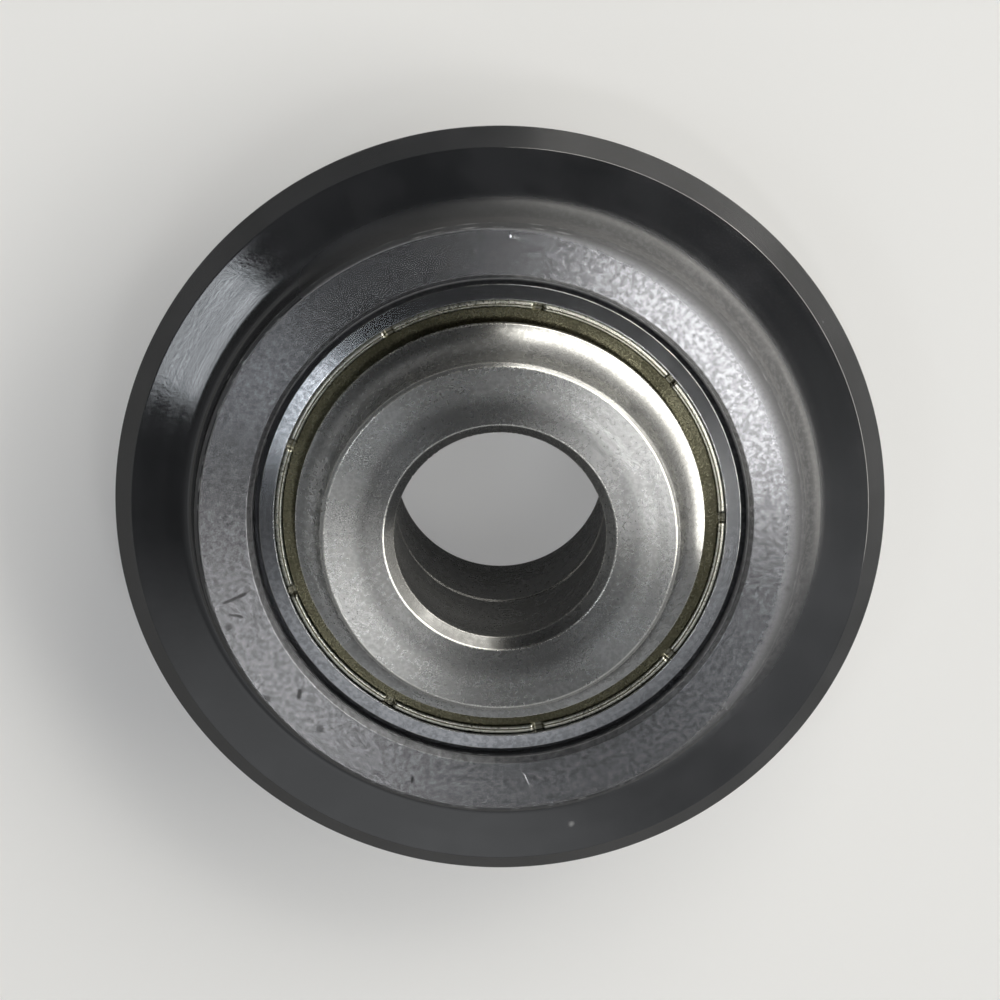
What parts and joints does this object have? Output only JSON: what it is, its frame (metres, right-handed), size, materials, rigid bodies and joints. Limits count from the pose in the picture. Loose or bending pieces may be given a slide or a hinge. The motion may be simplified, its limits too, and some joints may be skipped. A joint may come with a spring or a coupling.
{
  "type": "tile cutter wheel",
  "caption": "Round scoring wheel with a bevelled cutting edge, turning on a shielded ball bearing with flanged bushes for its axle.",
  "frame": {"origin": "centre of the wheel on the axle's axis, in the plane of the cutting edge, halfway along the bore", "axes": "+Z along the axle's axis, out of the front bush; X and Y span the plane of the cutting edge"},
  "size_m": [0.022, 0.022, 0.008],
  "materials": {
    "blackened_steel": "hardened steel with a black oxide finish, the boss faces ground bare",
    "ring_steel": "ground bearing steel, fine circular marks",
    "ball_steel": "lapped bearing balls",
    "cage_sheet": "pressed sheet, lightly oiled",
    "shield_sheet": "pressed sheet, dark with oil",
    "bush_steel": "turned steel, fine concentric tool marks"
  },
  "bodies": {
    "hub": {"bush_front": "bush_steel", "bush_back": "bush_steel", "inner_ring": "ring_steel"},
    "wheel": {"cutting_wheel": "blackened_steel", "outer_ring": "ring_steel", "shield_front": "shield_sheet", "shield_back": "shield_sheet"},
    "cage": {"cage_front": "cage_sheet", "cage_back": "cage_sheet"},
    "ball_1_body": {"ball_1": "ball_steel"},
    "ball_2_body": {"ball_2": "ball_steel"},
    "ball_3_body": {"ball_3": "ball_steel"},
    "ball_4_body": {"ball_4": "ball_steel"},
    "ball_5_body": {"ball_5": "ball_steel"},
    "ball_6_body": {"ball_6": "ball_steel"},
    "ball_7_body": {"ball_7": "ball_steel"},
    "ball_8_body": {"ball_8": "ball_steel"},
    "ball_9_body": {"ball_9": "ball_steel"}
  },
  "joints": [
    {"name": "wheel_spin", "type": "hinge", "parent": "hub", "child": "wheel", "pos_m": [0, 0, 0], "axis": [0, 0, 1], "continuous": true},
    {"name": "cage_spin", "type": "hinge", "parent": "hub", "child": "cage", "pos_m": [0, 0, 0], "axis": [0, 0, 1], "continuous": true},
    {"name": "ball_1_spin", "type": "hinge", "parent": "cage", "child": "ball_1_body", "pos_m": [0.0055, 0, 0], "axis": [0, 0, 1], "continuous": true},
    {"name": "ball_2_spin", "type": "hinge", "parent": "cage", "child": "ball_2_body", "pos_m": [0.00421, 0.00354, 0], "axis": [0, 0, 1], "continuous": true},
    {"name": "ball_3_spin", "type": "hinge", "parent": "cage", "child": "ball_3_body", "pos_m": [0.00096, 0.00542, 0], "axis": [0, 0, 1], "continuous": true},
    {"name": "ball_4_spin", "type": "hinge", "parent": "cage", "child": "ball_4_body", "pos_m": [-0.00275, 0.00476, 0], "axis": [0, 0, 1], "continuous": true},
    {"name": "ball_5_spin", "type": "hinge", "parent": "cage", "child": "ball_5_body", "pos_m": [-0.00517, 0.00188, 0], "axis": [0, 0, 1], "continuous": true},
    {"name": "ball_6_spin", "type": "hinge", "parent": "cage", "child": "ball_6_body", "pos_m": [-0.00517, -0.00188, 0], "axis": [0, 0, 1], "continuous": true},
    {"name": "ball_7_spin", "type": "hinge", "parent": "cage", "child": "ball_7_body", "pos_m": [-0.00275, -0.00476, 0], "axis": [0, 0, 1], "continuous": true},
    {"name": "ball_8_spin", "type": "hinge", "parent": "cage", "child": "ball_8_body", "pos_m": [0.00096, -0.00542, 0], "axis": [0, 0, 1], "continuous": true},
    {"name": "ball_9_spin", "type": "hinge", "parent": "cage", "child": "ball_9_body", "pos_m": [0.00421, -0.00354, 0], "axis": [0, 0, 1], "continuous": true}
  ],
  "couplings": [
    {"joint": "cage_spin", "follows": "wheel_spin", "ratio": 0.59091},
    {"joint": "ball_1_spin", "follows": "wheel_spin", "ratio": 2.6591},
    {"joint": "ball_2_spin", "follows": "wheel_spin", "ratio": 2.6591},
    {"joint": "ball_3_spin", "follows": "wheel_spin", "ratio": 2.6591},
    {"joint": "ball_4_spin", "follows": "wheel_spin", "ratio": 2.6591},
    {"joint": "ball_5_spin", "follows": "wheel_spin", "ratio": 2.6591},
    {"joint": "ball_6_spin", "follows": "wheel_spin", "ratio": 2.6591},
    {"joint": "ball_7_spin", "follows": "wheel_spin", "ratio": 2.6591},
    {"joint": "ball_8_spin", "follows": "wheel_spin", "ratio": 2.6591},
    {"joint": "ball_9_spin", "follows": "wheel_spin", "ratio": 2.6591}
  ]
}
